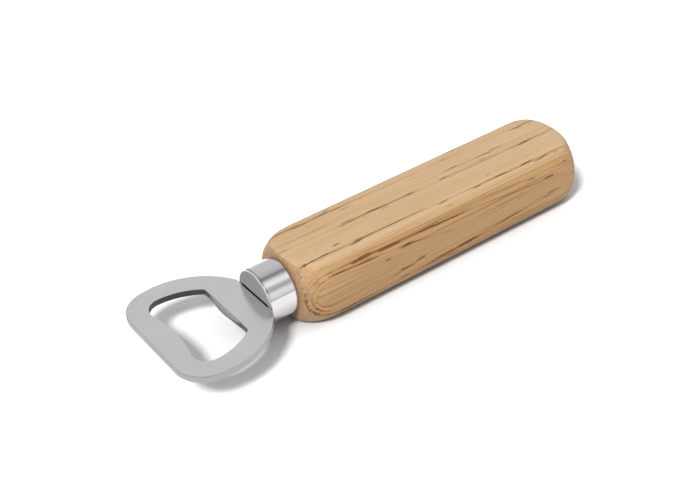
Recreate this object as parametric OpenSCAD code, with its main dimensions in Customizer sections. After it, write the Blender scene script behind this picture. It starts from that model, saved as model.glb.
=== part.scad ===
// Bottle opener: a stamped stainless plate whose tang is bonded into a wooden handle,
// with a drawn ferrule over the joint.
// X runs from the cap window to the handle's end, Y across, Z up, and the handle lies on Z = 0.

/* [Overall] */
// Length from the plate's front edge to the handle's end
overall_len = 142; // [130:1:160]
// Thickness of the steel plate
plate_t = 1.9; // [1.5:0.1:2.5]

/* [Head] */
// Length of the head in front of the ferrule
head_len = 32.4; // [31:0.2:34]
// Width across the head
head_w = 43.5; // [42:0.5:46]
// Radius of each side of the head
head_side_r = 22.9; // [22.4:0.1:24]
// Distance from the ferrule to the widest place of the head
head_widest = 20.5; // [19.5:0.1:21]
// Radius of the two front corners
head_corner_r = 9.5; // [8:0.5:10]

/* [Cap window] */
// Distance from the ferrule to the window's straight back edge
window_back = 9.4; // [9:0.1:10.5]
// Distance from the ferrule to the deepest place of the two front lobes
window_front = 26.3; // [26:0.1:26.8]
// Width across the window
window_w = 31.6; // [30:0.2:32]
// Radius of each side of the window
window_side_r = 19.8; // [19:0.2:21]
// Distance from the ferrule to the window's widest place
window_widest = 22; // [21.8:0.1:22.2]
// Radius of the two front lobes
lobe_r = 4.5; // [4:0.1:4.8]
// How far the rest between the lobes stands back from them
rest_rise = 1.55; // [1.2:0.05:1.8]
// Radius of the two back corners
window_corner_r = 1.2; // [0.8:0.1:1.6]

/* [Tooth] */
// Length of the fold line of the tooth
tooth_w = 16.6; // [14:0.2:18]
// Depth of the tooth at its middle
tooth_depth = 1.45; // [1:0.05:2]
// Angle by which the tooth is bent down
tooth_angle = 35; // [15:1:45]

/* [Tang] */
// Length of the tang behind the ferrule's face
tang_len = 44; // [30:1:60]
// Width of the tang
tang_w = 12; // [10:0.5:12.5]
// Chamfer on the tang's two end corners
tang_chamfer = 3; // [1:0.5:5]

/* [Ferrule] */
// Outer diameter of the ferrule
ferrule_d = 17; // [16.5:0.1:18]
// Length of the ferrule
ferrule_len = 9; // [8:0.5:12]
// Thickness of the ferrule's skirt
ferrule_wall = 0.8; // [0.6:0.1:1]
// Thickness of the ferrule's face
ferrule_face = 1; // [0.8:0.1:1.5]
// Radius of the ferrule's front edge
ferrule_edge_r = 0.7; // [0.4:0.1:0.8]
// Radius of the ferrule's back rim
ferrule_rim_r = 0.35; // [0.1:0.05:0.5]
// Gap round the tang in the ferrule's slot
slot_gap = 0.5; // [0.2:0.1:0.6]

/* [Handle] */
// Width of the handle
handle_w = 27; // [25:0.5:30]
// Height of the handle
handle_h = 20.6; // [19:0.2:24]
// Radius of the handle's long edges
handle_edge_r = 5.5; // [4:0.5:7]
// Radius of the flat ring left round the ferrule
shoulder_r = 9.4; // [9:0.1:10]
// Radius of the shoulder's turned corner
shoulder_corner_r = 3; // [2:0.1:3.5]
// Radius of the flat left at the handle's end
end_r = 7.9; // [7:0.1:8.4]
// Radius of the end's turned corner
end_corner_r = 6.3; // [5.5:0.1:6.5]
// Radial fit between the wooden spigot and the ferrule
spigot_fit = 0.05; // [0:0.01:0.1]

/* [Bond] */
// Thickness of the adhesive round the tang
bond_t = 0.4; // [0.2:0.05:0.6]

/* [Hidden] */
$fn = 96;

// The turned blank is this much larger than the handle's corners
blank_allowance = 0.4;
// Angle at which the tight arc of each turned end runs into its long arc
shoulder_blend = 35;
end_blend = 34;
// Space between the spigot and the ferrule's face
spigot_gap = 0.2;
// Overlap that lets cuts pass through a face
through = 1;
// Largest step between two points of an arc, in degrees
arc_step = 5;

axis_z = handle_h / 2;
ferrule_x = head_len - overall_len / 2;
handle_len = overall_len - head_len - ferrule_len;
ferrule_r = ferrule_d / 2;
bore_r = ferrule_r - ferrule_wall;
spigot_r = bore_r - spigot_fit;
mortise_x = ferrule_face + spigot_gap;
mortise_len = tang_len + bond_t - mortise_x;
mortise_w = tang_w + 2 * bond_t;
mortise_h = plate_t + 2 * bond_t;
blank_r = norm([handle_w / 2 - handle_edge_r, handle_h / 2 - handle_edge_r])
    + handle_edge_r + blank_allowance;

// ---- Outlines, each a closed chain of runs; a run is a list of points, and the next begins at its end ----

function arc(c, r, from, to) =
    let (steps = ceil(abs(to - from) / arc_step))
    [for (i = [0 : steps]) let (a = from + (to - from) * i / steps) c + r * [cos(a), sin(a)]];

// Centre of a circle of radius r that touches the line x = wall from the side that step points to,
// and a larger circle of radius big_r about big_c from inside, on the positive side of Y
function corner_centre(wall, step, r, big_c, big_r) =
    let (x = wall + step * r) [x, big_c[1] + sqrt(pow(big_r - r, 2) - pow(x - big_c[0], 2))];

function direction(from, to) = atan2(to[1] - from[1], to[0] - from[0]);
function mirrored(p) = [p[0], -p[1]];
function backwards(list) = [for (i = [len(list) - 1 : -1 : 0]) list[i]];
function last(list) = list[len(list) - 1];

// Straight run from a point to its mirror image, or none for a point on the X axis
function bridge(p) = p[1] == 0 ? [] : [[p, mirrored(p)]];

// The runs of an outline's upper half, followed by the same runs below the X axis
function both_halves(upper) = concat(
    upper,
    bridge(last(last(upper))),
    [for (run = backwards(upper)) [for (p = backwards(run)) mirrored(p)]],
    bridge(mirrored(upper[0][0]))
);

module outline(runs) {
    polygon([for (run = runs) for (i = [0 : len(run) - 2]) run[i]]);
}

// ---- Opener plate, drawn with the ferrule's face at x = 0 and the head on negative X ----

module head_outline() {
    side_c = [-head_widest, head_w / 2 - head_side_r];
    corner_c = corner_centre(-head_len, 1, head_corner_r, side_c, head_side_r);
    blend = direction(side_c, corner_c);
    outline(both_halves([
        arc(side_c, head_side_r, acos(head_widest / head_side_r), blend),
        arc(corner_c, head_corner_r, blend, 180)
    ]));
}

module window_outline() {
    side_c = [-window_widest, window_w / 2 - window_side_r];
    back_c = corner_centre(-window_back, -1, window_corner_r, side_c, window_side_r);
    back_blend = direction(side_c, back_c);
    lobe_c = corner_centre(-window_front, 1, lobe_r, side_c, window_side_r);
    lobe_blend = direction(side_c, lobe_c);
    // The rest is one long arc about a point on the X axis, and runs into both lobes
    rest_r = (pow(lobe_r - rest_rise, 2) + pow(lobe_c[1], 2) - pow(lobe_r, 2)) / (2 * rest_rise);
    rest_c = [rest_rise - window_front - rest_r, 0];
    rest_blend = direction(rest_c, lobe_c);
    outline(both_halves([
        arc(back_c, window_corner_r, 0, back_blend),
        arc(side_c, window_side_r, back_blend, lobe_blend),
        arc(lobe_c, lobe_r, lobe_blend, 180 + rest_blend),
        arc(rest_c, rest_r, rest_blend, 0)
    ]));
}

module tang_outline(length) {
    half = tang_w / 2;
    polygon([
        [-through, -half],
        [length - tang_chamfer, -half],
        [length, tang_chamfer - half],
        [length, half - tang_chamfer],
        [length - tang_chamfer, half],
        [-through, half]
    ]);
}

// The tooth is a shallow segment of the plate, turned down about the window's back edge
module tooth() {
    half = tooth_w / 2;
    tooth_r = (half * half + tooth_depth * tooth_depth) / (2 * tooth_depth);
    tooth_c = [tooth_r - tooth_depth, 0];
    translate([-window_back, 0, plate_t / 2])
        rotate([0, -tooth_angle, 0])
            translate([0, 0, -plate_t])
                linear_extrude(plate_t)
                    outline(both_halves([
                        arc(tooth_c, tooth_r, direction(tooth_c, [0, half]), 180)
                    ]));
}

module opener_plate() {
    color("silver")
        translate([ferrule_x, 0, axis_z]) {
            translate([0, 0, -plate_t / 2])
                linear_extrude(plate_t)
                    difference() {
                        union() {
                            head_outline();
                            tang_outline(tang_len);
                        }
                        window_outline();
                    }
            tooth();
        }
}

// ---- Ferrule: a cup that stands on its slotted face ----

module ferrule_profile() {
    union() {
        square([ferrule_r - ferrule_edge_r, ferrule_len]);
        translate([0, ferrule_edge_r])
            square([ferrule_r, ferrule_len - ferrule_edge_r - ferrule_rim_r]);
        translate([ferrule_r - ferrule_edge_r, ferrule_edge_r]) circle(ferrule_edge_r);
        translate([0, ferrule_len - 2 * ferrule_rim_r])
            square([ferrule_r - ferrule_rim_r, 2 * ferrule_rim_r]);
        translate([ferrule_r - ferrule_rim_r, ferrule_len - ferrule_rim_r]) circle(ferrule_rim_r);
    }
}

module ferrule() {
    color("gainsboro")
        translate([ferrule_x, 0, axis_z])
            difference() {
                rotate([0, 90, 0])
                    difference() {
                        rotate_extrude() ferrule_profile();
                        translate([0, 0, ferrule_face]) cylinder(h = ferrule_len, r = bore_r);
                    }
                translate([ferrule_face / 2, 0, 0])
                    cube([ferrule_face + 2 * through, tang_w + 2 * slot_gap, plate_t + 2 * slot_gap],
                         center = true);
            }
}

// ---- Handle: a planed bar whose two ends are turned ----

// Runs of a turned corner as [radius, distance from the end]: a tight arc off the flat of radius
// flat_r, then a long arc out to the blank
function turned_corner(flat_r, corner_r, blend) =
    let (
        joint = [flat_r + corner_r * cos(blend), corner_r * (1 - sin(blend))],
        long_r = (blank_r - joint[0]) / (1 - cos(blend)),
        long_c = [blank_r - long_r, joint[1] + long_r * sin(blend)]
    )
    [arc([flat_r, corner_r], corner_r, -90, -blend), arc(long_c, long_r, -blend, 0)];

module turned_outline() {
    shoulder = turned_corner(shoulder_r, shoulder_corner_r, shoulder_blend);
    end_corner = turned_corner(end_r, end_corner_r, end_blend);
    end = [for (run = backwards(end_corner)) [for (p = backwards(run)) [p[0], handle_len - p[1]]]];
    outline(concat(
        [[[0, 0], shoulder[0][0]]],
        shoulder,
        [[last(last(shoulder)), end[0][0]]],
        end,
        [[last(last(end)), [0, handle_len]], [[0, handle_len], [0, 0]]]
    ));
}

// Rectangle about the origin with rounded corners
module rounded_rectangle(w, h, r) {
    square([w - 2 * r, h], center = true);
    square([w, h - 2 * r], center = true);
    for (x = [r - w / 2, w / 2 - r], y = [r - h / 2, h / 2 - r])
        translate([x, y]) circle(r);
}

module mortise() {
    translate([mortise_x, -mortise_w / 2, -mortise_h / 2])
        cube([mortise_len, mortise_w, mortise_h]);
}

module handle() {
    color("burlywood")
        translate([ferrule_x, 0, axis_z])
            difference() {
                union() {
                    translate([ferrule_len, 0, 0])
                        intersection() {
                            rotate([0, 90, 0]) rotate_extrude() turned_outline();
                            rotate([90, 0, 90])
                                linear_extrude(handle_len)
                                    rounded_rectangle(handle_w, handle_h, handle_edge_r);
                        }
                    translate([mortise_x, 0, 0])
                        rotate([0, 90, 0]) cylinder(h = ferrule_len, r = spigot_r);
                }
                mortise();
            }
}

// ---- Adhesive: what the tang leaves free in the mortise ----

module tang_adhesive() {
    color("ivory")
        translate([ferrule_x, 0, axis_z])
            difference() {
                mortise();
                translate([0, 0, -plate_t / 2]) linear_extrude(plate_t) tang_outline(tang_len);
            }
}

opener_plate();
ferrule();
handle();
tang_adhesive();
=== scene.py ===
import math

import bmesh
import bpy
from mathutils import Matrix, Vector


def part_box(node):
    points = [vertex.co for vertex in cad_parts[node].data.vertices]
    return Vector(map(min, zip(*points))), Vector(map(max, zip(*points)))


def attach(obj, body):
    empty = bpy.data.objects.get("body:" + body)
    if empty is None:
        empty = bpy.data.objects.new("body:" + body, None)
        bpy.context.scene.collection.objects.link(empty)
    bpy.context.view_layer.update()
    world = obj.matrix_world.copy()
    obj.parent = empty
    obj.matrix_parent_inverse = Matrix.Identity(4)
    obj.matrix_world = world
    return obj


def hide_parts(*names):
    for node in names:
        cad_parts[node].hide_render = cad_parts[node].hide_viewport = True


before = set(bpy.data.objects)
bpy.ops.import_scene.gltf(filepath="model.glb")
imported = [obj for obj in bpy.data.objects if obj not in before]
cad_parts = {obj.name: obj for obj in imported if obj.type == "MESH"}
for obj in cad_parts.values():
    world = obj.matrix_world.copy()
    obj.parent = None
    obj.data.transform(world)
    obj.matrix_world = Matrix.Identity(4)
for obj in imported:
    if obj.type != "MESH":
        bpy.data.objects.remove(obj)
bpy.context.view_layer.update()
mm = 0.001  # lengths below are in millimetres and angles in degrees, unless a note says otherwise
print("frame loaded:", ", ".join(sorted(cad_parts)))


# Values go to the node's live inputs in order, and named ones by name. A node or a socket is linked
def addNode(tree, kind, *values, named=None, **settings):
    node = tree.nodes.new(kind)
    for setting, choice in settings.items():
        setattr(node, setting, choice)
    live = [socket for socket in node.inputs if socket.enabled]
    byName = {socket.name: socket for socket in live}
    pairs = list(zip(live, values)) + [(byName[name], value) for name, value in (named or {}).items()]
    for socket, value in pairs:
        if isinstance(value, bpy.types.Node):
            value = next(output for output in value.outputs if output.enabled)
        if isinstance(value, bpy.types.NodeSocket):
            tree.links.new(value, socket)
        else:
            socket.default_value = value
    return node


def toLinear(hexColour):
    parts = [int(hexColour[i:i + 2], 16) / 255 for i in (1, 3, 5)]
    return tuple(c / 12.92 if c <= 0.04045 else ((c + 0.055) / 1.055) ** 2.4 for c in parts) + (1.0,)


def newMaterial(name):
    material = bpy.data.materials.new(name)
    material.use_nodes = True
    tree = material.node_tree
    tree.nodes.clear()
    place = addNode(tree, "ShaderNodeTexCoord").outputs["Object"]
    inMillimetres = addNode(tree, "ShaderNodeVectorMath", place, named={"Scale": 1 / mm}, operation="SCALE")
    return material, tree, inMillimetres


def finishMaterial(tree, surface):
    shader = addNode(tree, "ShaderNodeBsdfPrincipled", named=surface)
    addNode(tree, "ShaderNodeOutputMaterial", shader)


def arc(centre, radius, start, end, steps):
    turns = [math.radians(start + (end - start) * i / steps) for i in range(steps + 1)]
    return [Vector((centre[0] + radius * math.cos(t), centre[1] + radius * math.sin(t))) for t in turns]


def heading(start, end):
    return math.degrees(math.atan2(end[1] - start[1], end[0] - start[0]))


# The view, looking down along the handle from the cap window's side
view = {
    "azimuth": -33.305,
    "elevation": 36.585,
    "roll": -4.515,
    "distance": 380.5,
    "target": (-7.16, -1.30, 12.0),
    "lens": 69.06,
    "sensor": 36.0,
}


def makeCamera():
    azimuth, elevation, roll = (math.radians(view[k]) for k in ("azimuth", "elevation", "roll"))
    level = math.cos(elevation)
    back = Vector((math.sin(azimuth) * level, -math.cos(azimuth) * level, math.sin(elevation)))
    flatRight = Vector((math.cos(azimuth), math.sin(azimuth), 0))
    flatUp = back.cross(flatRight)
    right = flatRight * math.cos(roll) + flatUp * math.sin(roll)
    up = flatUp * math.cos(roll) - flatRight * math.sin(roll)
    lens = bpy.data.cameras.new("camera")
    lens.lens = view["lens"]
    lens.sensor_width = view["sensor"]
    lens.clip_start = 0.01
    camera = bpy.data.objects.new("camera", lens)
    place = (Vector(view["target"]) + back * view["distance"]) * mm
    camera.matrix_world = Matrix.Translation(place) @ Matrix((right, up, back)).transposed().to_4x4()
    bpy.context.scene.collection.objects.link(camera)
    bpy.context.scene.camera = camera


makeCamera()
print("camera placed")

# White oak, planed, sanded and lightly oiled: a pale tan ground with darker broken lines where each
# year's large pores are cut lengthwise, and brown specks where the end grain shows
oak = {
    "top": "#AC9170",
    "side": "#9D7C53",
    "endGrain": "#927657",
    "band": "#7C5430",
    "line": "#6A3F1D",
    "pore": "#5C371B",
    "pith": (-25.0, -30.0, 11.0),
    "lean": 0.022,
    # (radius, strength) of each year's ring about the pith
    "rings": (
        (17.1, 0.8), (17.7, 1.2), (18.7, 1.7), (19.8, 0.5), (23.6, 0.85), (32.0, 0.95),
        (34.4, 0.5), (39.3, 0.75), (42.6, 0.5), (43.8, 0.8), (44.4, 0.6),
    ),
    "lineWidth": 0.36,
    "bandWidth": 1.25,
    "wander": 0.28,
    "wanderSize": (55.0, 22.0, 22.0),
    "patchSize": (16.0, 2.5, 2.5),
    "cloudSize": (50.0, 6.0, 6.0),
    # Pores and fibres are drawn a little coarser than real oak's, so that they show
    "poreSize": (6.0, 0.45, 0.45),
    "fibreSize": (60.0, 0.5, 0.5),
    "speckSize": 0.5,
    "poreDepth": 0.05,
}


def makeOak():
    material, tree, place = newMaterial("oakSandedAndOiled")

    def noise(size, detail):
        scaled = addNode(tree, "ShaderNodeVectorMath", place, size, operation="DIVIDE")
        texture = addNode(tree, "ShaderNodeTexNoise", named={
            "Vector": scaled,
            "Scale": 1.0,
            "Detail": detail,
        })
        return texture.outputs["Fac"]

    def ramp(value, low, high, atLow=0.0, atHigh=1.0):
        return addNode(tree, "ShaderNodeMapRange", value, low, high, atLow, atHigh,
                       interpolation_type="SMOOTHSTEP")

    # Distance from the pith, which lies off the near side and leans a little across the grain
    fromPith = addNode(tree, "ShaderNodeVectorMath", place, oak["pith"], operation="SUBTRACT")
    fromPith = addNode(tree, "ShaderNodeSeparateXYZ", fromPith)
    leaning = addNode(tree, "ShaderNodeMath", fromPith.outputs["X"], oak["lean"], fromPith.outputs["Y"],
                      operation="MULTIPLY_ADD")
    across = addNode(tree, "ShaderNodeCombineXYZ", 0.0, leaning, fromPith.outputs["Z"])
    radius = addNode(tree, "ShaderNodeVectorMath", across, operation="LENGTH").outputs["Value"]
    wander = ramp(noise(oak["wanderSize"], 1.0), 0.25, 0.75, -oak["wander"], oak["wander"])
    radius = addNode(tree, "ShaderNodeMath", radius, wander, operation="ADD")

    # How steeply the surface cuts the rings: a ring is drawn as thin where the cut is shallow
    normal = addNode(tree, "ShaderNodeTexCoord").outputs["Normal"]
    outward = addNode(tree, "ShaderNodeVectorMath", across, operation="NORMALIZE")
    along = addNode(tree, "ShaderNodeVectorMath", outward, normal, operation="CROSS_PRODUCT")
    steepness = addNode(tree, "ShaderNodeVectorMath", along, operation="LENGTH").outputs["Value"]
    steepness = addNode(tree, "ShaderNodeMath", steepness, 0.1, operation="MAXIMUM")

    # Each ring is a thin line, with large pores crowded beside it
    line, band = 0.0, 0.0
    for ring, strength in oak["rings"]:
        gap = addNode(tree, "ShaderNodeMath", radius, ring, operation="SUBTRACT")
        gap = addNode(tree, "ShaderNodeMath", gap, operation="ABSOLUTE")
        gap = addNode(tree, "ShaderNodeMath", gap, steepness, operation="DIVIDE")
        line = addNode(tree, "ShaderNodeMath", line, ramp(gap, 0.0, oak["lineWidth"], strength, 0.0),
                       operation="MAXIMUM")
        band = addNode(tree, "ShaderNodeMath", band, ramp(gap, 0.0, oak["bandWidth"], strength, 0.0),
                       operation="MAXIMUM")
    patches = noise(oak["patchSize"], 2.0)
    broken = ramp(patches, 0.38, 0.58, 0.28, 1.0)
    clear = ramp(steepness, 0.12, 0.30, 0.1, 1.0)
    crowded = ramp(patches, 0.40, 0.64, 0.1, 1.0)
    line = addNode(tree, "ShaderNodeMath", line, broken, operation="MULTIPLY")
    line = addNode(tree, "ShaderNodeMath", line, clear, operation="MULTIPLY")
    band = addNode(tree, "ShaderNodeMath", band, crowded, operation="MULTIPLY")

    # The sides show closer, straighter grain, and the turned ends show it cut across
    facing = addNode(tree, "ShaderNodeSeparateXYZ", normal)
    onSide = ramp(addNode(tree, "ShaderNodeMath", facing.outputs["Y"], operation="ABSOLUTE"), 0.45, 0.95)
    onEnd = ramp(addNode(tree, "ShaderNodeMath", facing.outputs["X"], operation="ABSOLUTE"), 0.25, 0.8)
    crowding = addNode(tree, "ShaderNodeMath", band, ramp(onSide, 0.0, 1.0, 1.0, 0.6), operation="MULTIPLY")
    threshold = addNode(tree, "ShaderNodeMapRange", crowding, 0.0, 1.0, 0.80, 0.45)
    pores = addNode(tree, "ShaderNodeMath", noise(oak["poreSize"], 0.0), threshold, operation="SUBTRACT")
    pores = ramp(pores, 0.0, 0.05)
    specks = ramp(noise((oak["speckSize"],) * 3, 2.0), 0.48, 0.66)
    specks = addNode(tree, "ShaderNodeMath", specks, onEnd, operation="MULTIPLY")
    fibres = noise(oak["fibreSize"], 3.0)
    fine = addNode(tree, "ShaderNodeMath", ramp(fibres, 0.36, 0.50, 1.0, 0.0),
                   ramp(onSide, 0.0, 1.0, 0.10, 0.52), operation="MULTIPLY")
    shade = addNode(tree, "ShaderNodeMapRange", fibres, 0.35, 0.65, 0.97, 1.03)
    cloud = addNode(tree, "ShaderNodeMapRange", noise(oak["cloudSize"], 2.0), 0.3, 0.7, -0.2, 0.25)
    warmth = addNode(tree, "ShaderNodeMath", onSide, cloud, operation="ADD", use_clamp=True)

    # Each layer is laid over the ones before it, by the share of its tone that shows
    colour = toLinear(oak["top"])
    faint = addNode(tree, "ShaderNodeMath", band, 0.18, operation="MULTIPLY")
    dark = addNode(tree, "ShaderNodeMath", line, ramp(onEnd, 0.0, 1.0, 0.9, 0.15), operation="MULTIPLY")
    grainless = addNode(tree, "ShaderNodeMath", onEnd, 0.8, operation="MULTIPLY")
    speckled = addNode(tree, "ShaderNodeMath", specks, 0.5, operation="MULTIPLY")
    cut = addNode(tree, "ShaderNodeMath", pores, 0.85, operation="MULTIPLY")
    layers = ((warmth, "side"), (grainless, "endGrain"), (fine, "band"), (faint, "band"), (dark, "line"),
              (speckled, "pore"), (cut, "pore"))
    for share, tone in layers:
        colour = addNode(tree, "ShaderNodeMix", share, data_type="RGBA", named={
            "A": colour,
            "B": toLinear(oak[tone]),
        })
    colour = addNode(tree, "ShaderNodeVectorMath", colour, named={"Scale": shade}, operation="SCALE")
    roughness = addNode(tree, "ShaderNodeMapRange", pores, 0.0, 1.0, 0.55, 0.75)
    height = addNode(tree, "ShaderNodeMath", fibres, 0.25, operation="MULTIPLY")
    height = addNode(tree, "ShaderNodeMath", height, pores, operation="SUBTRACT")
    bump = addNode(tree, "ShaderNodeBump", named={
        "Strength": 0.5,
        "Distance": oak["poreDepth"] * mm,
        "Height": height,
    })
    finishMaterial(tree, {
        "Base Color": colour,
        "Roughness": roughness,
        "Specular IOR Level": 0.3,
        "Normal": bump,
    })
    return material


# Stainless steel sheet, blanked and tumbled: an even satin grey with blurred reflections, and duller
# walls. Walls and the bent tooth are painted darker as shade, those round the window darker still
satinSteel = {
    "colour": "#D5D4D5",
    # The wall grey is painted shade, darker than the metal's own
    "shadedWallColour": "#9C9B9D",
    # Painted shade, deeper, for the walls round the cap window
    "windowShadeColour": "#555456",
    "roughness": (0.19, 0.23),
    "wallRoughness": 0.38,
    "windowCentre": (-56.5, 0.0, 0.0),
    "windowShape": (1.35, 1.0, 0.0),
    "windowShadeReach": 18.3,  # walls nearer than this to the window's centre get a deeper painted shade
    "mottle": 8.3,
    "speck": 0.35,  # the tumbled grain, drawn coarser than it is so that it shows
    "grit": 0.0012,
}
# Stainless steel, drawn and polished: clear reflections, with the same finish on every face
polishedSteel = {
    "colour": "#CFCDD0",
    "shadedWallColour": "#CFCDD0",
    "windowShadeColour": "#CFCDD0",
    "roughness": (0.09, 0.12),
    "wallRoughness": 0.11,
    "windowCentre": (-56.5, 0.0, 0.0),
    "windowShape": (1.35, 1.0, 0.0),
    "windowShadeReach": 0.0,
    "mottle": 8.3,
    "speck": 0.9,  # the slight waviness that polishing leaves
    "grit": 0.0003,
}


def makeSteel(name, steel):
    material, tree, place = newMaterial(name)
    specks = addNode(tree, "ShaderNodeTexNoise", named={
        "Vector": place,
        "Scale": 1 / steel["speck"],
        "Detail": 3.0,
    })
    facing = addNode(tree, "ShaderNodeSeparateXYZ", addNode(tree, "ShaderNodeTexCoord").outputs["Normal"])
    level = addNode(tree, "ShaderNodeMath", facing.outputs["Z"], operation="ABSOLUTE")
    # From 1 on an upright wall to 0 on a level face; the sloping tooth counts partly as wall
    wall = addNode(tree, "ShaderNodeMapRange", level, 0.63, 0.96, 1.0, 0.0, interpolation_type="SMOOTHSTEP")
    fromWindow = addNode(tree, "ShaderNodeVectorMath", place, steel["windowCentre"], operation="SUBTRACT")
    fromWindow = addNode(tree, "ShaderNodeVectorMath", fromWindow, steel["windowShape"], operation="MULTIPLY")
    reach = addNode(tree, "ShaderNodeVectorMath", fromWindow, operation="LENGTH").outputs["Value"]
    # Walls round the cap window are painted darker still, as shade
    inWindowShade = addNode(tree, "ShaderNodeMath", reach, steel["windowShadeReach"], operation="LESS_THAN")
    shadedWallColour = addNode(tree, "ShaderNodeMix", inWindowShade, data_type="RGBA", named={
        "A": toLinear(steel["shadedWallColour"]),
        "B": toLinear(steel["windowShadeColour"]),
    })
    faceRoughness = addNode(tree, "ShaderNodeMapRange", specks.outputs["Fac"], 0.3, 0.7, *steel["roughness"])
    roughness = addNode(tree, "ShaderNodeMix", wall, faceRoughness, steel["wallRoughness"], data_type="FLOAT")
    clouds = addNode(tree, "ShaderNodeTexNoise", named={
        "Vector": place,
        "Scale": 1 / steel["mottle"],
        "Detail": 1.0,
    })
    tone = addNode(tree, "ShaderNodeMapRange", clouds.outputs["Fac"], 0.3, 0.7, 0.98, 1.02)
    # Painted shade: upright and sloping faces take the darker wall grey in place of the face's own
    colour = addNode(tree, "ShaderNodeMix", wall, data_type="RGBA", named={
        "A": toLinear(steel["colour"]),
        "B": shadedWallColour,
    })
    colour = addNode(tree, "ShaderNodeVectorMath", colour, named={"Scale": tone}, operation="SCALE")
    bump = addNode(tree, "ShaderNodeBump", named={
        "Strength": 1.0,
        "Distance": steel["grit"] * mm,
        "Height": specks.outputs["Fac"],
    })
    finishMaterial(tree, {"Base Color": colour, "Metallic": 1.0, "Roughness": roughness, "Normal": bump})
    return material


# Two-part epoxy, cast: a glossy pale amber with cloudy streaks where it was stirred
epoxy = {"clear": "#D9CB9C", "cloudy": "#C7B27A", "roughness": 0.22, "streak": 3.0}


def makeEpoxy():
    material, tree, place = newMaterial("epoxyCast")
    streaks = addNode(tree, "ShaderNodeTexNoise", named={
        "Vector": place,
        "Scale": 1 / epoxy["streak"],
        "Detail": 4.0,
        "Distortion": 1.5,
    })
    colour = addNode(tree, "ShaderNodeMix", streaks.outputs["Fac"], data_type="RGBA", named={
        "A": toLinear(epoxy["clear"]),
        "B": toLinear(epoxy["cloudy"]),
    })
    finishMaterial(tree, {"Base Color": colour, "Roughness": epoxy["roughness"]})
    return material


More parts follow.
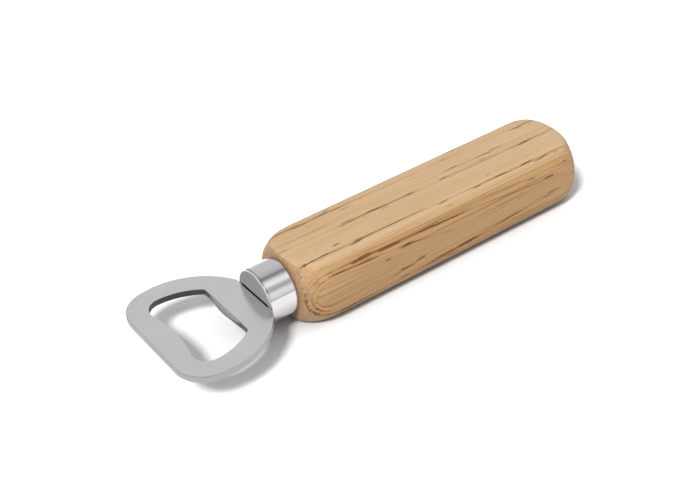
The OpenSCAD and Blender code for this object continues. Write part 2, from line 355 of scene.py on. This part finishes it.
# The handle and the ferrule come from one tree, as both are turned: a profile of (x, radius) points is
# swept about the axis, held inside a planed bar, and cut by a slot. The tree works in metres
def makeTurningTree():
    tree = bpy.data.node_groups.new("turnedPlanedSlotted", "GeometryNodeTree")
    sizes = ("Axis Height", "Planed Width", "Planed Height", "Long Edge", "Softness")
    tree.interface.new_socket("Profile", in_out="INPUT", socket_type="NodeSocketGeometry")
    tree.interface.new_socket("Around", in_out="INPUT", socket_type="NodeSocketInt")
    for name in sizes:
        tree.interface.new_socket(name, in_out="INPUT", socket_type="NodeSocketFloat")
    for name in ("Slot Centre", "Slot Size"):
        tree.interface.new_socket(name, in_out="INPUT", socket_type="NodeSocketVector")
    tree.interface.new_socket("Material", in_out="INPUT", socket_type="NodeSocketMaterial")
    tree.interface.new_socket("Piece", in_out="OUTPUT", socket_type="NodeSocketGeometry")
    given = addNode(tree, "NodeGroupInput").outputs

    # A grid with one row for each profile point and one column for each step round the axis
    rows = addNode(tree, "GeometryNodeAttributeDomainSize", given["Profile"], component="MESH")
    columns = addNode(tree, "ShaderNodeMath", given["Around"], 1.0, operation="ADD")
    grid = addNode(tree, "GeometryNodeMeshGrid", 1.0, 1.0, rows.outputs["Point Count"], columns)
    index = addNode(tree, "GeometryNodeInputIndex")
    # Half a step is added, so that a whole number divides safely
    halfPast = addNode(tree, "ShaderNodeMath", index, 0.5, operation="ADD")
    rowAndPart = addNode(tree, "ShaderNodeMath", halfPast, columns, operation="DIVIDE")
    row = addNode(tree, "ShaderNodeMath", rowAndPart, operation="FLOOR")
    rowStart = addNode(tree, "ShaderNodeMath", row, columns, operation="MULTIPLY")
    column = addNode(tree, "ShaderNodeMath", index, rowStart, operation="SUBTRACT")
    turn = addNode(tree, "ShaderNodeMath", column, given["Around"], operation="DIVIDE")
    angle = addNode(tree, "ShaderNodeMath", turn, -2 * math.pi, operation="MULTIPLY")
    point = addNode(tree, "GeometryNodeSampleIndex", data_type="FLOAT_VECTOR", domain="POINT", named={
        "Geometry": given["Profile"],
        "Value": addNode(tree, "GeometryNodeInputPosition"),
        "Index": row,
    })
    point = addNode(tree, "ShaderNodeSeparateXYZ", point)
    along, turned = point.outputs["X"], point.outputs["Y"]
    cosine = addNode(tree, "ShaderNodeMath", angle, operation="COSINE")
    sine = addNode(tree, "ShaderNodeMath", angle, operation="SINE")
    sideways = addNode(tree, "ShaderNodeMath", cosine, operation="ABSOLUTE")
    upwards = addNode(tree, "ShaderNodeMath", sine, operation="ABSOLUTE")

    # Distance from the axis to the bar's flat faces, and to its rounded long edges
    leastShare = 1e-5  # keeps a division safe where the ray runs along a face
    halfWidth = addNode(tree, "ShaderNodeMath", given["Planed Width"], 0.5, operation="MULTIPLY")
    halfHeight = addNode(tree, "ShaderNodeMath", given["Planed Height"], 0.5, operation="MULTIPLY")
    toSide = addNode(tree, "ShaderNodeMath", sideways, leastShare, operation="MAXIMUM")
    toSide = addNode(tree, "ShaderNodeMath", halfWidth, toSide, operation="DIVIDE")
    toTop = addNode(tree, "ShaderNodeMath", upwards, leastShare, operation="MAXIMUM")
    toTop = addNode(tree, "ShaderNodeMath", halfHeight, toTop, operation="DIVIDE")
    toFlat = addNode(tree, "ShaderNodeMath", toSide, toTop, operation="MINIMUM")
    centreY = addNode(tree, "ShaderNodeMath", halfWidth, given["Long Edge"], operation="SUBTRACT")
    centreZ = addNode(tree, "ShaderNodeMath", halfHeight, given["Long Edge"], operation="SUBTRACT")
    centre = addNode(tree, "ShaderNodeCombineXYZ", centreY, centreZ, 0.0)
    ray = addNode(tree, "ShaderNodeCombineXYZ", sideways, upwards, 0.0)
    nearest = addNode(tree, "ShaderNodeVectorMath", centre, ray, operation="DOT_PRODUCT").outputs["Value"]
    centreSquare = addNode(tree, "ShaderNodeVectorMath", centre, centre, operation="DOT_PRODUCT")
    nearSquare = addNode(tree, "ShaderNodeMath", nearest, nearest, operation="MULTIPLY")
    radiusSquare = addNode(tree, "ShaderNodeMath", given["Long Edge"], given["Long Edge"], nearSquare,
                           operation="MULTIPLY_ADD")
    chordSquare = addNode(tree, "ShaderNodeMath", radiusSquare, centreSquare.outputs["Value"],
                          operation="SUBTRACT")
    chordSquare = addNode(tree, "ShaderNodeMath", chordSquare, 0.0, operation="MAXIMUM")
    chord = addNode(tree, "ShaderNodeMath", chordSquare, operation="SQRT")
    toEdge = addNode(tree, "ShaderNodeMath", nearest, chord, operation="ADD")
    flatY = addNode(tree, "ShaderNodeMath", toFlat, sideways, operation="MULTIPLY")
    flatZ = addNode(tree, "ShaderNodeMath", toFlat, upwards, operation="MULTIPLY")
    beyondY = addNode(tree, "ShaderNodeMath", flatY, centreY, operation="GREATER_THAN")
    beyondZ = addNode(tree, "ShaderNodeMath", flatZ, centreZ, operation="GREATER_THAN")
    onEdge = addNode(tree, "ShaderNodeMath", beyondY, beyondZ, operation="MULTIPLY")
    planed = addNode(tree, "ShaderNodeMix", onEdge, toFlat, toEdge, data_type="FLOAT")

    # Sanding softens the line where the turned ends meet the planed faces
    radius = addNode(tree, "ShaderNodeMath", turned, planed, given["Softness"], operation="SMOOTH_MIN")
    acrossPlace = addNode(tree, "ShaderNodeMath", radius, cosine, operation="MULTIPLY")
    heightPlace = addNode(tree, "ShaderNodeMath", radius, sine, given["Axis Height"],
                          operation="MULTIPLY_ADD")
    place = addNode(tree, "ShaderNodeCombineXYZ", along, acrossPlace, heightPlace)
    body = addNode(tree, "GeometryNodeSetPosition", named={"Geometry": grid, "Position": place})
    # A micrometre is enough to close the seam, and both ends on the axis
    body = addNode(tree, "GeometryNodeMergeByDistance", named={"Geometry": body, "Distance": 1e-6})

    slot = addNode(tree, "GeometryNodeMeshCube", named={"Size": given["Slot Size"]})
    slot = addNode(tree, "GeometryNodeTransform", named={
        "Geometry": slot,
        "Translation": given["Slot Centre"],
    })
    body = addNode(tree, "GeometryNodeMeshBoolean", body, operation="DIFFERENCE", solver="EXACT",
                   named={"Mesh 2": slot})
    bend = addNode(tree, "GeometryNodeInputMeshEdgeAngle").outputs["Unsigned Angle"]
    # Edges that turn further than this stay crisp, such as the slot's and those of the stepped faces
    sharp = addNode(tree, "ShaderNodeMath", bend, math.radians(40), operation="GREATER_THAN")
    body = addNode(tree, "GeometryNodeSetShadeSmooth", body, domain="FACE", named={"Shade Smooth": True})
    body = addNode(tree, "GeometryNodeSetShadeSmooth", body, domain="EDGE",
                   named={"Selection": sharp, "Shade Smooth": False})
    body = addNode(tree, "GeometryNodeRealizeInstances", body)
    body = addNode(tree, "GeometryNodeSetMaterial", named={
        "Geometry": body,
        "Material": given["Material"],
    })
    addNode(tree, "NodeGroupOutput", body)
    return tree


def makeTurnedPiece(name, tree, profile, inputs):
    seed = bpy.data.meshes.new(name)
    seed.from_pydata([(x * mm, radius * mm, 0) for x, radius in profile], [], [])
    piece = bpy.data.objects.new(name, seed)
    bpy.context.scene.collection.objects.link(piece)
    modifier = piece.modifiers.new("turning", "NODES")
    modifier.node_group = tree
    for item in tree.interface.items_tree:
        if item.in_out == "INPUT" and item.name in inputs:
            modifier[item.identifier] = inputs[item.name]
    evaluated = piece.evaluated_get(bpy.context.evaluated_depsgraph_get())
    finished = bpy.data.meshes.new_from_object(evaluated)
    piece.modifiers.remove(modifier)
    piece.data = finished
    print(name, "made,", len(finished.polygons), "faces")
    return piece


plateLow, plateHigh = (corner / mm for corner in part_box("opener_plate"))
ferruleLow, ferruleHigh = (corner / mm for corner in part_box("ferrule"))
handleLow, handleHigh = (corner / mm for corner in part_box("handle"))
axisZ = (ferruleLow.z + ferruleHigh.z) / 2
faceX = ferruleLow.x  # the ferrule's closed face, where the plate comes out
plateThickness = 2 * (plateHigh.z - axisZ)

# A planed oak bar with turned ends, and a turned spigot for the ferrule
handle = {
    "longEdge": 5.5,
    "shoulderFlat": 9.4,
    "shoulderCorner": 3.0,
    "shoulderBlend": 35,
    "endFlat": 7.9,
    "endCorner": 6.3,
    "endBlend": 34,
    "blankAllowance": 0.4,
    "spigotRadius": 7.65,
    "mortise": (43.2, 12.8, 2.7),
    "support": 0.3,
    "softness": 2.2,
    "around": 288,
}


def turnedCorner(flat, corner, blend, blank):
    # (distance from the end, radius) pairs: a tight arc off the flat, then a long arc out to the blank
    lean = math.radians(blend)
    joint = (corner * (1 - math.sin(lean)), flat + corner * math.cos(lean))
    longRadius = (blank - joint[1]) / (1 - math.cos(lean))
    longCentre = (joint[0] + longRadius * math.sin(lean), blank - longRadius)
    tight = arc((corner, flat), corner, 180, 90 + blend, 12)
    return tight + arc(longCentre, longRadius, 90 + blend, 90, 32)[1:]


def makeHandle(tree, material):
    length = handleHigh.x - ferruleHigh.x
    halfFlats = [(handleHigh[i] - handleLow[i]) / 2 - handle["longEdge"] for i in (1, 2)]
    blank = math.hypot(*halfFlats) + handle["longEdge"] + handle["blankAllowance"]
    shoulder = turnedCorner(handle["shoulderFlat"], handle["shoulderCorner"], handle["shoulderBlend"], blank)
    end = turnedCorner(handle["endFlat"], handle["endCorner"], handle["endBlend"], blank)
    spigot, support = handle["spigotRadius"], handle["support"]
    front, back = shoulder[-1][0], length - end[-1][0]
    bar = [(front + (back - front) * i / 16, blank) for i in range(1, 16)]
    midShoulder = (spigot + handle["shoulderFlat"]) / 2
    inside = [(handleLow.x, radius) for radius in (0, spigot / 2, spigot - support, spigot)]
    inside += [(ferruleHigh.x, radius) for radius in (spigot, spigot + support, midShoulder)]
    profile = inside + [(ferruleHigh.x + x, radius) for x, radius in shoulder + bar]
    profile += [(handleHigh.x - x, radius) for x, radius in reversed(end)]
    profile += [(handleHigh.x, handle["endFlat"] * share) for share in (0.97, 0.75, 0.5, 0.25, 0)]
    mortise = Vector(handle["mortise"])
    start = Vector((handleLow.x + mortise.x / 2, 0, axisZ))
    past = Vector((1, 0, 0))  # the cut starts clear of the spigot's end
    piece = makeTurnedPiece("oakHandle", tree, profile, {
        "Around": handle["around"],
        "Axis Height": axisZ * mm,
        "Planed Width": (handleHigh.y - handleLow.y) * mm,
        "Planed Height": (handleHigh.z - handleLow.z) * mm,
        "Long Edge": handle["longEdge"] * mm,
        "Softness": handle["softness"] * mm,
        "Slot Centre": (start - past) * mm,
        "Slot Size": (mortise + 2 * past) * mm,
        "Material": material,
    })
    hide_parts("handle")
    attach(piece, "root")


# A drawn cup with a slotted face
ferrule = {
    "wall": 0.8,
    "face": 1.0,
    "frontEdge": 0.7,
    "backRim": 0.35,
    "slot": (13.0, 2.9),
    "support": 0.2,
    "around": 192,
}


def makeFerrule(tree, material):
    outer = (ferruleHigh.y - ferruleLow.y) / 2
    bore = outer - ferrule["wall"]
    length = ferruleHigh.x - faceX
    edge, rim, support = ferrule["frontEdge"], ferrule["backRim"], ferrule["support"]
    face = outer - edge
    unplaned = 4 * outer  # a bar this size leaves the ferrule round
    profile = [(0, face * share) for share in (0, 0.25, 0.5, 0.75, 0.97)]
    profile += [tuple(p) for p in arc((edge, face), edge, 180, 90, 10)]
    profile += [(edge + support, outer), (length / 2, outer), (length - rim - support, outer)]
    profile += [tuple(p) for p in arc((length - rim, outer - rim), rim, 90, 0, 6)]
    profile += [(length, bore + support / 2), (length, bore), (length - support, bore), (length / 2, bore)]
    profile += [(ferrule["face"], bore), (ferrule["face"], bore / 2), (ferrule["face"], 0)]
    slotWidth, slotHeight = ferrule["slot"]
    piece = makeTurnedPiece("polishedFerrule", tree, [(faceX + x, radius) for x, radius in profile], {
        "Around": ferrule["around"],
        "Axis Height": axisZ * mm,
        "Planed Width": unplaned * mm,
        "Planed Height": unplaned * mm,
        "Long Edge": 0.0,
        "Softness": 0.0,
        "Slot Centre": Vector((faceX + ferrule["face"] / 2, 0, axisZ)) * mm,
        "Slot Size": Vector((ferrule["face"] + 1, slotWidth, slotHeight)) * mm,
        "Material": material,
    })
    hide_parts("ferrule")
    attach(piece, "root")


# The stamped plate: a closed band between the head's outline and the cap window, with a tooth bent
# down from the window's back edge and a tang that runs into the handle
plate = {
    "sideRadius": 22.9,
    "widest": 20.5,
    "cornerRadius": 9.5,
    "windowBack": 9.4,
    "windowFront": 26.3,
    "windowWidth": 31.6,
    "windowSideRadius": 19.8,
    "windowWidest": 22.0,
    "lobeRadius": 4.5,
    "restRise": 1.55,
    "windowCorner": 1.2,
    "toothWidth": 16.6,
    "toothDepth": 1.45,
    "toothAngle": 35,
    "toothEase": 0.6,  # the fold turns to its full angle over this depth of tooth
    "lipReach": 0.45,
    "rootReach": 0.9,
    "tangWidth": 12.0,
    "tangChamfer": 3.0,
    "edgeRound": 0.12,
    "edgeSteps": 4,
    "foldRound": 0.1,
    "support": 0.3,
    "bandCentre": -17.0,
}


def cornerCentre(wall, step, radius, bigCentre, bigRadius):
    # Centre of a circle that touches the line x = wall, and a larger circle from inside
    x = wall + step * radius
    return Vector((x, bigCentre[1] + math.sqrt((bigRadius - radius) ** 2 - (x - bigCentre[0]) ** 2)))


def closedOutline(upperHalf):
    points = [p for i, p in enumerate(upperHalf) if i == 0 or (p - upperHalf[i - 1]).length > 1e-4]
    return points + [Vector((p.x, -p.y)) for p in reversed(points) if abs(p.y) > 1e-4]


def headOutline():
    length = faceX - plateLow.x
    side = Vector((-plate["widest"], plateHigh.y - plate["sideRadius"]))
    corner = cornerCentre(-length, 1, plate["cornerRadius"], side, plate["sideRadius"])
    start = math.degrees(math.acos(plate["widest"] / plate["sideRadius"]))
    blend = heading(side, corner)
    return closedOutline(arc(side, plate["sideRadius"], start, blend, 26)
                         + arc(corner, plate["cornerRadius"], blend, 180, 20))


def windowOutline():
    sideRadius, lobeRadius, rise = plate["windowSideRadius"], plate["lobeRadius"], plate["restRise"]
    side = Vector((-plate["windowWidest"], plate["windowWidth"] / 2 - sideRadius))
    corner = cornerCentre(-plate["windowBack"], -1, plate["windowCorner"], side, sideRadius)
    lobe = cornerCentre(-plate["windowFront"], 1, lobeRadius, side, sideRadius)
    restRadius = ((lobeRadius - rise) ** 2 + lobe.y ** 2 - lobeRadius ** 2) / (2 * rise)
    rest = Vector((rise - plate["windowFront"] - restRadius, 0))
    cornerBlend, lobeBlend, restBlend = heading(side, corner), heading(side, lobe), heading(rest, lobe)
    return closedOutline(arc(corner, plate["windowCorner"], 0, cornerBlend, 10)
                         + arc(side, sideRadius, cornerBlend, lobeBlend, 20)
                         + arc(lobe, lobeRadius, lobeBlend, 180 + restBlend, 22)
                         + arc(rest, restRadius, restBlend, 0, 12))


def outlineAt(outline, turn):
    # Where a ray from the band's centre meets the outline, and the outward mitre there
    centre = Vector((plate["bandCentre"], 0))
    ray = Vector((math.cos(turn), math.sin(turn)))
    for i, point in enumerate(outline):
        start, end = point - centre, outline[(i + 1) % len(outline)] - centre
        before, after = ray.cross(start), ray.cross(end)
        if before <= 1e-9 and after > 1e-9 and ray.dot(start + end) > 0:
            share = before / (before - after)
            place = centre + start.lerp(end, share)
            return place, mitre(outline, i).lerp(mitre(outline, i + 1), share)
    raise ValueError("the ray misses the outline")


def mitre(outline, i):
    count = len(outline)
    point = outline[i % count]
    before = (point - outline[(i - 1) % count]).normalized()
    after = (outline[(i + 1) % count] - point).normalized()
    along = (before + after).normalized()
    return Vector((along.y, -along.x)) / max(along.dot(after), 0.5)  # at most twice the wall's own inset


def roundedCorner(before, corner, after, setback, steps):
    # A true arc that leaves both sides of the corner at the setback, drawn as a rational curve
    toBefore, toAfter = (before - corner).normalized(), (after - corner).normalized()
    start, end = corner + toBefore * setback, corner + toAfter * setback
    weight = math.sqrt(max(0.0, (1 - toBefore.dot(toAfter)) / 2))
    points = []
    for i in range(steps + 1):
        u = i / steps
        shares = (1 - u) ** 2, 2 * u * (1 - u) * weight, u ** 2
        points.append((start * shares[0] + corner * shares[1] + end * shares[2]) / sum(shares))
    return points


def toothLength(y):
    half, depth = plate["toothWidth"] / 2, plate["toothDepth"]
    if abs(y) >= half:
        return 0.0
    radius = (half ** 2 + depth ** 2) / (2 * depth)
    return math.sqrt(radius ** 2 - y ** 2) - (radius - depth)


def windowEdge(y, onBackEdge):
    # The section at the window as (distance into the metal, height) points, from the top face round
    # the edge or the tooth to the underside
    top, bottom = plateThickness / 2, -plateThickness / 2
    length = toothLength(y) if onBackEdge else 0.0
    share = length / plate["toothDepth"]
    eased = min(1.0, length / plate["toothEase"])
    bend = math.radians(plate["toothAngle"]) * eased ** 2 * (3 - 2 * eased)
    lip = math.hypot(plate["lipReach"], length)
    fold = Vector((lip - length, top))
    tip = fold + lip * Vector((-math.cos(bend), -math.sin(bend)))
    fullBend = math.radians(plate["toothAngle"])
    reach = Vector((-math.cos(fullBend), -math.sin(fullBend))) * plate["toothDepth"]
    reach += Vector((math.sin(fullBend), -math.cos(fullBend))) * plateThickness
    heel = Vector((0, bottom)).lerp(Vector((0, top)) + reach, share)
    root = Vector((plate["rootReach"], bottom))
    inward = Vector((1, 0))
    return (roundedCorner(fold + inward, fold, tip, plate["foldRound"], 3)
            + roundedCorner(fold, tip, heel, plate["edgeRound"], plate["edgeSteps"])
            + roundedCorner(tip, heel, root, plate["edgeRound"], plate["edgeSteps"])
            + roundedCorner(heel, root, root + inward, plate["foldRound"], 2))


def plateSection(turn, head, window):
    # One closed ring of points round the band's metal, with the outer wall first
    outer, outerWay = outlineAt(head, turn)
    inner, innerWay = outlineAt(window, turn)
    top, bottom = plateThickness / 2, -plateThickness / 2
    onBackEdge = abs(inner.x + plate["windowBack"]) < 1e-3
    wall = [Vector((0, bottom)), Vector((0, top))]
    metal = Vector((1, 0))
    edgeRound, edgeSteps = plate["edgeRound"], plate["edgeSteps"]
    outerEdge = roundedCorner(wall[0] + metal, wall[0], wall[1], edgeRound, edgeSteps)
    outerEdge += roundedCorner(wall[0], wall[1], wall[1] + metal, edgeRound, edgeSteps)
    ring = [(outer - outerWay * depth, height) for depth, height in outerEdge]
    innerEdge = windowEdge(inner.y, onBackEdge)
    innerRing = [(inner + innerWay * depth, height) for depth, height in innerEdge]

    inset = edgeRound + plate["support"]
    outerSupport = outer - outerWay * inset
    topSupport = inner + innerWay * (innerEdge[0].x + plate["support"])
    bottomSupport = inner + innerWay * (innerEdge[-1].x + plate["support"])
    ring += [(outerSupport.lerp(topSupport, share), top) for share in (0, 0.25, 0.5, 0.75, 1)]
    ring += innerRing
    ring += [(bottomSupport.lerp(outerSupport, share), bottom) for share in (0, 0.25, 0.5, 0.75, 1)]
    return [Vector((faceX + place.x, place.y, axisZ + height)) for place, height in ring]


def bandTurns(head, window):
    # Ray angles that reach every corner of both outlines, the tang's edges and steps along the tooth
    centre = plate["bandCentre"]
    halfTang, halfTooth = plate["tangWidth"] / 2, plate["toothWidth"] / 2
    keys = [math.atan2(side * halfTang, -centre) for side in (-1, 1)]
    keys += [math.atan2(side * p.y, p.x - centre) for side in (-1, 1) for p in (head[0], window[0])]
    toothSteps = 48
    along = [halfTooth * (2 * i / toothSteps - 1) for i in range(toothSteps + 1)]
    loose = [math.atan2(y, -plate["windowBack"] - centre) for y in along]
    loose += [math.atan2(p.y, p.x - centre) for p in head + window]
    closest = math.radians(0.3)
    turns = list(keys)
    for turn in sorted(loose):
        if all(abs(turn - other) > closest for other in turns):
            turns.append(turn)
    return sorted(turns)


def makePlate(material):
    head, window = headOutline(), windowOutline()
    turns = bandTurns(head, window)
    work = bmesh.new()
    sections = [[work.verts.new(p * mm) for p in plateSection(turn, head, window)] for turn in turns]
    count = len(sections[0])
    wallPoints = 2 * (plate["edgeSteps"] + 1)  # each section starts with the outer wall's two rounded edges
    halfTang = math.atan2(plate["tangWidth"] / 2, -plate["bandCentre"]) + 1e-6
    onTang = [i for i, turn in enumerate(turns) if abs(turn) <= halfTang]
    for i, section in enumerate(sections):
        following = sections[(i + 1) % len(sections)]
        behindTang = i in onTang and (i + 1) in onTang
        for j in range(wallPoints - 1 if behindTang else 0, count):
            k = (j + 1) % count
            work.faces.new((section[j], following[j], following[k], section[k]))

    # The tang carries on from the band's upper and lower rows, in behind the ferrule's face
    tangEnd, chamfer, halfWidth = plateHigh.x - faceX, plate["tangChamfer"], plate["tangWidth"] / 2
    stations = [1.0, 15.0, 30.0, tangEnd - chamfer, tangEnd]
    upper = [[sections[i][wallPoints - 1] for i in onTang]]
    lower = [[sections[i][0] for i in onTang]]
    for x in stations:
        narrowing = 1 - max(0.0, x - (tangEnd - chamfer)) / halfWidth
        for rows, height in ((upper, plateThickness / 2), (lower, -plateThickness / 2)):
            places = [((faceX + x) * mm, vert.co.y * narrowing, (axisZ + height) * mm) for vert in rows[0]]
            rows.append([work.verts.new(place) for place in places])
    for rows in (upper, lower):
        for near, far in zip(rows, rows[1:]):
            for j in range(len(near) - 1):
                work.faces.new((near[j], far[j], far[j + 1], near[j + 1]))
    for j in range(len(onTang) - 1):
        work.faces.new((upper[-1][j], upper[-1][j + 1], lower[-1][j + 1], lower[-1][j]))
    for side in (0, -1):
        wall = sections[onTang[side]][:wallPoints]
        work.faces.new(wall + [upper[1][side], lower[1][side]])
        for k in range(1, len(stations)):
            work.faces.new((upper[k][side], upper[k + 1][side], lower[k + 1][side], lower[k][side]))
    bmesh.ops.recalc_face_normals(work, faces=work.faces)
    mesh = bpy.data.meshes.new("satinPlate")
    work.to_mesh(mesh)
    work.free()
    mesh.shade_smooth()
    mesh.set_sharp_from_angle(angle=math.radians(60))
    mesh.materials.append(material)
    piece = bpy.data.objects.new("satinPlate", mesh)
    bpy.context.scene.collection.objects.link(piece)
    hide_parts("opener_plate")
    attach(piece, "root")
    print("satinPlate made,", len(mesh.polygons), "faces")


turningTree = makeTurningTree()
makeHandle(turningTree, makeOak())
makeFerrule(turningTree, makeSteel("stainlessPolished", polishedSteel))
makePlate(makeSteel("stainlessTumbled", satinSteel))

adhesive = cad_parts["tang_adhesive"]
adhesive.data.materials.clear()
adhesive.data.materials.append(makeEpoxy())
print("adhesive finished")

# A white studio: a matt floor, one soft light high over the cap window's end, and a bright surround
# with light and dark bands along the handle and a dark flag across it
studio = {
    "floorSize": 6.0,  # metres
    "floorColour": "#F0F0F0",
    "floorMottle": 20.0,
    "contactReach": 0.022,  # metres
    "contactShade": 0.40,
    "keyWay": (-0.54, -0.28, 0.79),
    "keySoftness": 14,
    "keyPower": 3.95,
    "surround": 0.88,
    # (angle, brightness) pairs, from the far side at 0, over the top, to the near side at 180
    "bands": (
        (0, 0.95), (60, 0.90), (78, 0.72), (89, 0.30), (97, 0.60), (107, 1.25), (120, 1.50),
        (130, 0.85), (140, 0.62), (154, 1.30), (168, 1.25), (180, 0.75),
    ),
    "flag": (-0.25, 0.10),
    "flagEdges": (0.15, 0.12),
    "flagLevel": 0.40,
}


# Uncoated paper, pressed: a matt white with no gloss, and a painted shadow that darkens it close round what
# lies on it
def makeFloor():
    half = studio["floorSize"] / 2
    mesh = bpy.data.meshes.new("floor")
    corners = [(-half, -half, 0), (half, -half, 0), (half, half, 0), (-half, half, 0)]
    mesh.from_pydata(corners, [], [(0, 1, 2, 3)])
    material, tree, place = newMaterial("paperMatt")
    mottle = addNode(tree, "ShaderNodeTexNoise", named={
        "Vector": place,
        "Scale": 1 / studio["floorMottle"],
        "Detail": 1.0,
    })
    tone = addNode(tree, "ShaderNodeMapRange", mottle.outputs["Fac"], 0.3, 0.7, 0.995, 1.005)
    colour = addNode(tree, "ShaderNodeVectorMath", toLinear(studio["floorColour"])[:3],
                     named={"Scale": tone}, operation="SCALE")
    # Painted shadow: the floor's colour darkens where things close over it within this reach
    openness = addNode(tree, "ShaderNodeAmbientOcclusion", named={"Distance": studio["contactReach"]})
    openness = openness.outputs["AO"]
    paintedShadow = addNode(tree, "ShaderNodeMapRange", openness, 0.0, 0.9, studio["contactShade"], 1.0)
    colour = addNode(tree, "ShaderNodeVectorMath", colour, named={"Scale": paintedShadow}, operation="SCALE")
    finishMaterial(tree, {"Base Color": colour, "Roughness": 1.0, "Specular IOR Level": 0.0})
    mesh.materials.append(material)
    floor = bpy.data.objects.new("floor", mesh)
    bpy.context.scene.collection.objects.link(floor)


def makeKeyLight():
    lamp = bpy.data.lights.new("key", "SUN")
    lamp.angle = math.radians(studio["keySoftness"])
    lamp.energy = studio["keyPower"]
    key = bpy.data.objects.new("key", lamp)
    key.matrix_world = Vector(studio["keyWay"]).to_track_quat("Z", "Y").to_matrix().to_4x4()
    key.visible_glossy = False
    bpy.context.scene.collection.objects.link(key)


def makeSurround():
    world = bpy.data.worlds.new("studio")
    world.use_nodes = True
    tree = world.node_tree
    tree.nodes.clear()
    way = addNode(tree, "ShaderNodeTexCoord").outputs["Generated"]
    way = addNode(tree, "ShaderNodeSeparateXYZ", way)
    turn = addNode(tree, "ShaderNodeMath", way.outputs["Z"], way.outputs["Y"], operation="ARCTAN2")
    share = addNode(tree, "ShaderNodeMath", turn, math.pi, operation="DIVIDE")
    ramp = addNode(tree, "ShaderNodeValToRGB", share)
    stops = ramp.color_ramp.elements
    brightest = max(level for angle, level in studio["bands"])
    while len(stops) < len(studio["bands"]):
        stops.new(0.5)
    for stop, (angle, level) in zip(stops, studio["bands"]):
        stop.position = angle / 180
        stop.color = (level / brightest,) * 3 + (1.0,)
    # The flag's two edges fade, each over its own share of the handle's direction
    low, high = studio["flag"]
    fadeIn, fadeOut = studio["flagEdges"]
    flagLevel = studio["flagLevel"]
    before = addNode(tree, "ShaderNodeMapRange", way.outputs["X"], low - fadeIn, low, 1.0, flagLevel)
    after = addNode(tree, "ShaderNodeMapRange", way.outputs["X"], high, high + fadeOut, flagLevel, 1.0)
    shade = addNode(tree, "ShaderNodeMath", before, after, operation="MAXIMUM")
    colour = addNode(tree, "ShaderNodeVectorMath", ramp.outputs["Color"], named={"Scale": shade},
                     operation="SCALE")
    light = addNode(tree, "ShaderNodeBackground", named={
        "Color": colour,
        "Strength": studio["surround"] * brightest,
    })
    # Seen directly, the room beyond the floor is plain white
    plain = addNode(tree, "ShaderNodeBackground", (1, 1, 1, 1), 1.0)
    seen = addNode(tree, "ShaderNodeLightPath").outputs["Is Camera Ray"]
    light = addNode(tree, "ShaderNodeMixShader", seen, light, plain)
    addNode(tree, "ShaderNodeOutputWorld", light)
    bpy.context.scene.world = world


makeFloor()
makeKeyLight()
makeSurround()
bpy.context.scene.view_settings.view_transform = "Standard"
print("studio lit")
